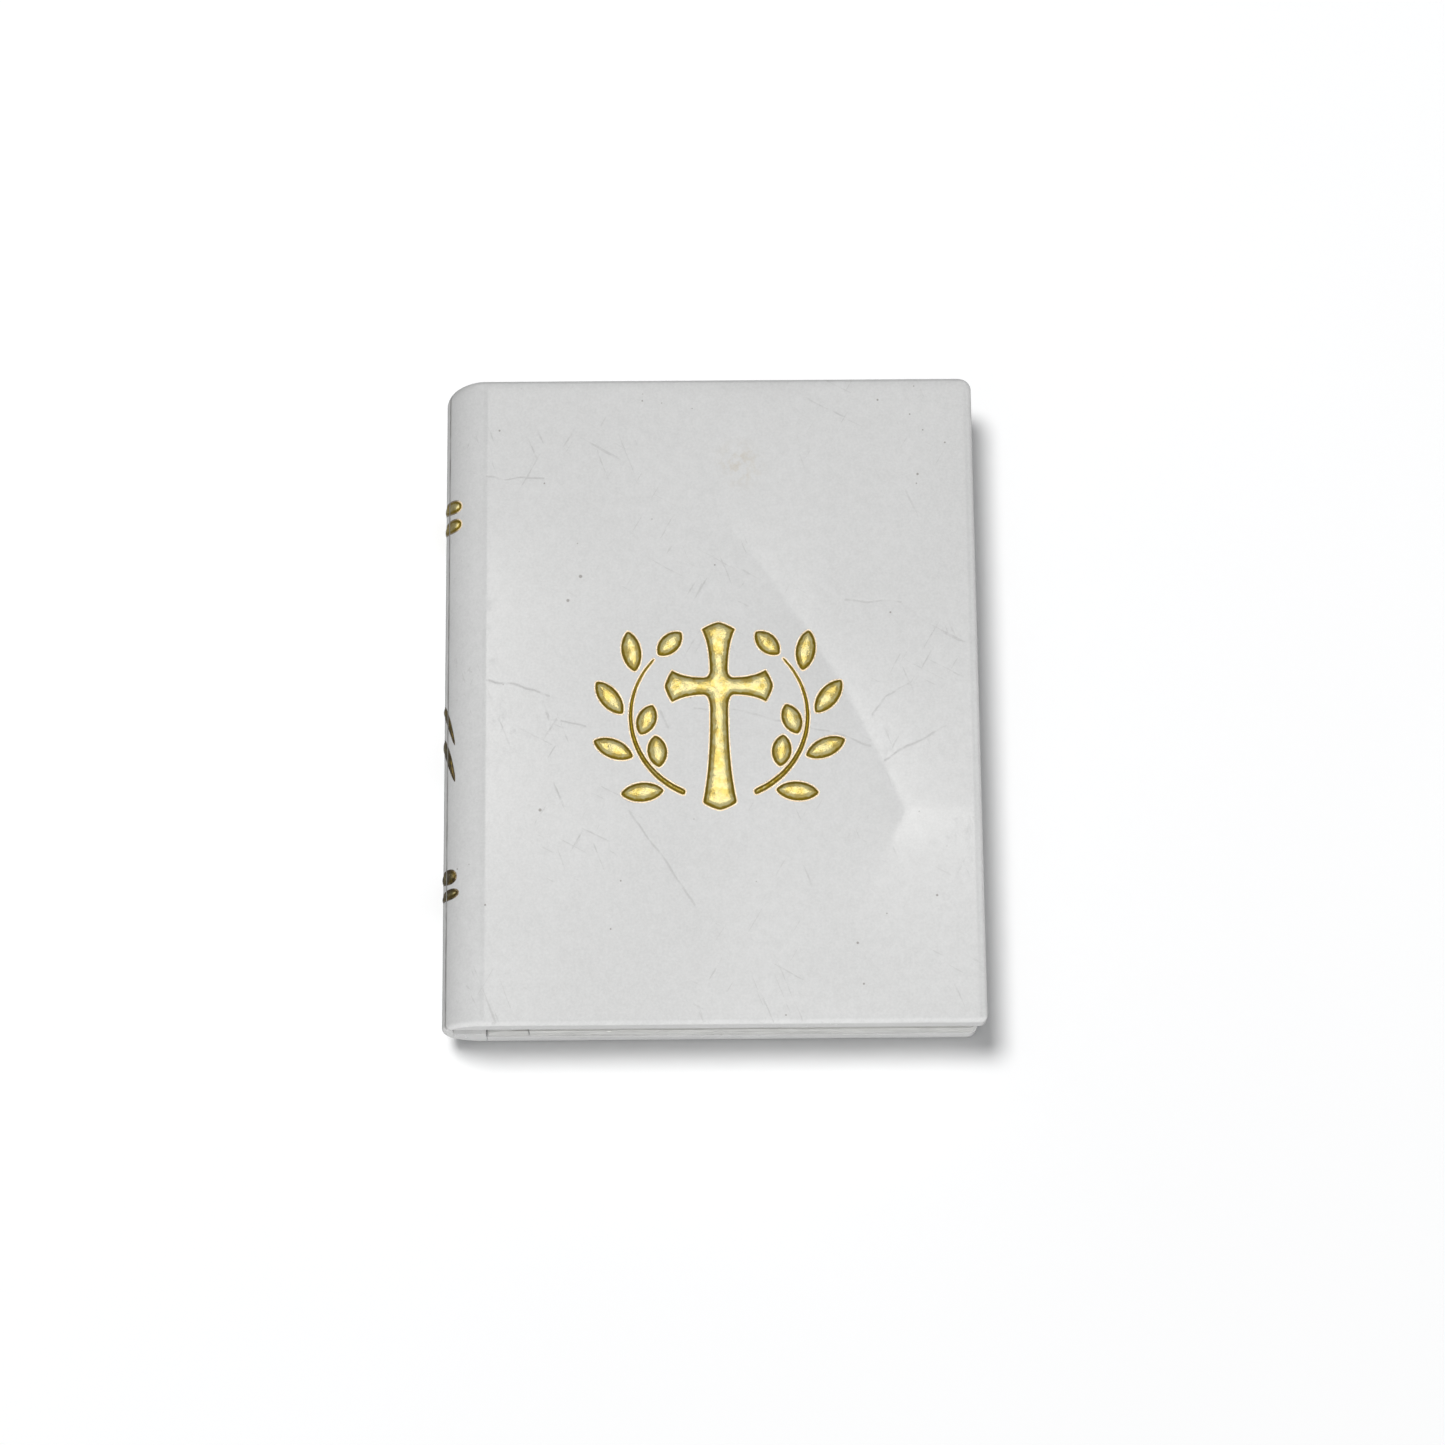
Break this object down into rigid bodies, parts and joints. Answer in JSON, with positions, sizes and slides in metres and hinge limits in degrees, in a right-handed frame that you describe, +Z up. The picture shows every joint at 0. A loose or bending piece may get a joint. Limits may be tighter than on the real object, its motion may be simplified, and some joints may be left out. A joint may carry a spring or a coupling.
{
  "type": "miniature bible",
  "caption": "Small bible with rigid white moulded covers, a rounded spine, a raised gold cross and laurel emblem, gold spine ornaments and leaves that turn.",
  "frame": {"origin": "middle of the footprint, on the surface that the back cover lies on", "axes": "+X from the spine to the fore-edge, +Y from the tail to the head, +Z up through the front cover"},
  "size_m": [0.051, 0.0636, 0.008],
  "materials": {
    "cover_plastic": "waxy gloss, white, with faint scratches",
    "film_plastic": "the cover's own plastic, bent thin",
    "gold_foil": "bright hot-stamped gold foil on raised plastic, darker on its sides",
    "leaf_paper": "thin white paper, cut edges",
    "endpaper": "smooth white paper",
    "lining": "glued open-weave cloth"
  },
  "bodies": {
    "book": {"back_cover": "cover_plastic", "back_paste_down": "endpaper", "binding_root": "leaf_paper", "hinge_film": "film_plastic", "leaf_section_6": "leaf_paper", "leaf_section_7": "leaf_paper", "leaf_section_8": "leaf_paper", "spine_gold_bottom_lower": "gold_foil", "spine_gold_bottom_upper": "gold_foil", "spine_gold_middle_lower": "gold_foil", "spine_gold_middle_upper": "gold_foil", "spine_gold_top_lower": "gold_foil", "spine_gold_top_upper": "gold_foil", "spine_lining": "lining", "spine_shell": "cover_plastic"},
    "cover": {"cover_gold_bottom_lower": "gold_foil", "cover_gold_bottom_upper": "gold_foil", "cover_gold_middle_lower": "gold_foil", "cover_gold_middle_upper": "gold_foil", "cover_gold_top_lower": "gold_foil", "cover_gold_top_upper": "gold_foil", "emblem_cross": "gold_foil", "emblem_leaf_left_1": "gold_foil", "emblem_leaf_left_2": "gold_foil", "emblem_leaf_left_3": "gold_foil", "emblem_leaf_left_4": "gold_foil", "emblem_leaf_left_5": "gold_foil", "emblem_leaf_left_6": "gold_foil", "emblem_leaf_left_7": "gold_foil", "emblem_leaf_right_1": "gold_foil", "emblem_leaf_right_2": "gold_foil", "emblem_leaf_right_3": "gold_foil", "emblem_leaf_right_4": "gold_foil", "emblem_leaf_right_5": "gold_foil", "emblem_leaf_right_6": "gold_foil", "emblem_leaf_right_7": "gold_foil", "emblem_stem_left": "gold_foil", "emblem_stem_right": "gold_foil", "front_cover": "cover_plastic", "front_paste_down": "endpaper"},
    "flyleaf_body": {"flyleaf": "leaf_paper"},
    "leaf_section_1_body": {"leaf_section_1": "leaf_paper"},
    "leaf_section_2_body": {"leaf_section_2": "leaf_paper"},
    "leaf_section_3_body": {"leaf_section_3": "leaf_paper"},
    "leaf_section_4_body": {"leaf_section_4": "leaf_paper"},
    "leaf_section_5_body": {"leaf_section_5": "leaf_paper"}
  },
  "joints": [
    {"name": "cover_hinge", "type": "hinge", "parent": "book", "child": "cover", "pos_m": [-0.02495, 0, 0.00554], "axis": [0, -1, 0], "range_deg": [0, 172]},
    {"name": "flyleaf_turn", "type": "hinge", "parent": "book", "child": "flyleaf_body", "pos_m": [-0.01724, 0, 0.00543], "axis": [0, -1, 0], "range_deg": [0, 167.34]},
    {"name": "leaf_section_1_turn", "type": "hinge", "parent": "book", "child": "leaf_section_1_body", "pos_m": [-0.01724, 0, 0.00543], "axis": [0, -1, 0], "range_deg": [0, 160.46]},
    {"name": "leaf_section_2_turn", "type": "hinge", "parent": "book", "child": "leaf_section_2_body", "pos_m": [-0.01724, 0, 0.00543], "axis": [0, -1, 0], "range_deg": [0, 151.86]},
    {"name": "leaf_section_3_turn", "type": "hinge", "parent": "book", "child": "leaf_section_3_body", "pos_m": [-0.01724, 0, 0.00543], "axis": [0, -1, 0], "range_deg": [0, 103.7]},
    {"name": "leaf_section_4_turn", "type": "hinge", "parent": "book", "child": "leaf_section_4_body", "pos_m": [-0.01724, 0, 0.00543], "axis": [0, -1, 0], "range_deg": [0, 52.1]},
    {"name": "leaf_section_5_turn", "type": "hinge", "parent": "book", "child": "leaf_section_5_body", "pos_m": [-0.01724, 0, 0.00543], "axis": [0, -1, 0], "range_deg": [0, 14.26]}
  ],
  "couplings": [
    {"joint": "flyleaf_turn", "follows": "cover_hinge", "ratio": 0.97},
    {"joint": "leaf_section_1_turn", "follows": "cover_hinge", "ratio": 0.93},
    {"joint": "leaf_section_2_turn", "follows": "cover_hinge", "ratio": 0.88},
    {"joint": "leaf_section_3_turn", "follows": "cover_hinge", "ratio": 0.6},
    {"joint": "leaf_section_4_turn", "follows": "cover_hinge", "ratio": 0.3},
    {"joint": "leaf_section_5_turn", "follows": "cover_hinge", "ratio": 0.08}
  ]
}
